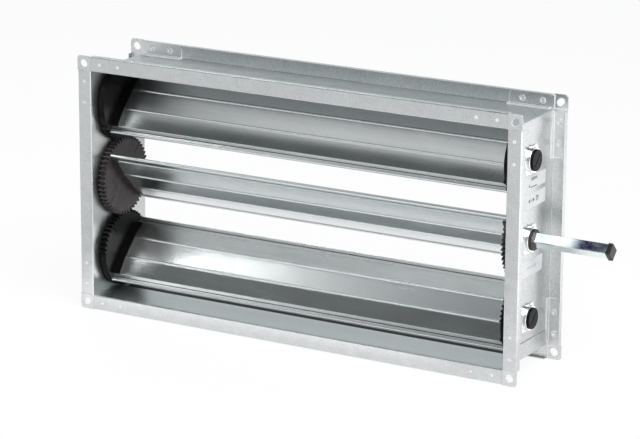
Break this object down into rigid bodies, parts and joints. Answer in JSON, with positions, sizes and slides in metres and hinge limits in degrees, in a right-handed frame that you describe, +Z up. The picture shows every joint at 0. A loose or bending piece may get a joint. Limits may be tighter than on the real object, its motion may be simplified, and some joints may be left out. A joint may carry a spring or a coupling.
{
  "type": "motorized shutoff damper",
  "caption": "Rectangular multi-blade duct damper: a flanged sheet casing with geared opposed blades turned by a square drive shaft.",
  "frame": {"origin": "centre of the duct opening in the plane of the front flange's face", "axes": "+X to the drive-shaft side along the blades, +Y into the depth from front to back flange, +Z up"},
  "size_m": [0.734, 0.125, 0.34],
  "materials": {
    "galvanised_sheet": "hot-dip galvanised, faint spangle",
    "galvanised_corner": "pressed galvanised sheet",
    "blade_aluminium": "extruded, drawn lines along the length",
    "gear_plastic": "moulded, satin",
    "bearing_metal": "bright zinc plated",
    "zinc_plated_steel": "bright zinc plated",
    "cap_plastic": "moulded, satin",
    "label_film": "satin film"
  },
  "bodies": {
    "casing": {"top_panel": "galvanised_sheet", "bottom_panel": "galvanised_sheet", "left_panel": "galvanised_sheet", "right_panel": "galvanised_sheet", "corner_front_top_left": "galvanised_corner", "corner_front_top_right": "galvanised_corner", "corner_front_bottom_left": "galvanised_corner", "corner_front_bottom_right": "galvanised_corner", "corner_back_top_left": "galvanised_corner", "corner_back_top_right": "galvanised_corner", "corner_back_bottom_left": "galvanised_corner", "corner_back_bottom_right": "galvanised_corner", "bearing_top_left": "bearing_metal", "bearing_top_right": "bearing_metal", "bearing_middle_left": "bearing_metal", "bearing_middle_right": "bearing_metal", "bearing_bottom_left": "bearing_metal", "bearing_bottom_right": "bearing_metal", "label_upper": "label_film", "label_middle": "label_film", "label_lower": "label_film"},
    "top_blade": {"blade_top": "blade_aluminium", "gear_top_left": "gear_plastic", "gear_top_right": "gear_plastic"},
    "middle_blade": {"blade_middle": "blade_aluminium", "gear_middle_left": "gear_plastic", "gear_middle_right": "gear_plastic", "drive_shaft": "zinc_plated_steel", "shaft_cap": "cap_plastic"},
    "bottom_blade": {"blade_bottom": "blade_aluminium", "gear_bottom_left": "gear_plastic", "gear_bottom_right": "gear_plastic"}
  },
  "joints": [
    {"name": "top_blade_turn", "type": "hinge", "parent": "casing", "child": "top_blade", "pos_m": [0, 0.0625, 0.1], "axis": [1, 0, 0], "range_deg": [-45, 45]},
    {"name": "middle_blade_turn", "type": "hinge", "parent": "casing", "child": "middle_blade", "pos_m": [0, 0.0625, 0], "axis": [1, 0, 0], "range_deg": [-45, 45]},
    {"name": "bottom_blade_turn", "type": "hinge", "parent": "casing", "child": "bottom_blade", "pos_m": [0, 0.0625, -0.1], "axis": [1, 0, 0], "range_deg": [-45, 45]}
  ],
  "couplings": [
    {"joint": "top_blade_turn", "follows": "middle_blade_turn", "ratio": -1},
    {"joint": "bottom_blade_turn", "follows": "middle_blade_turn", "ratio": -1}
  ]
}
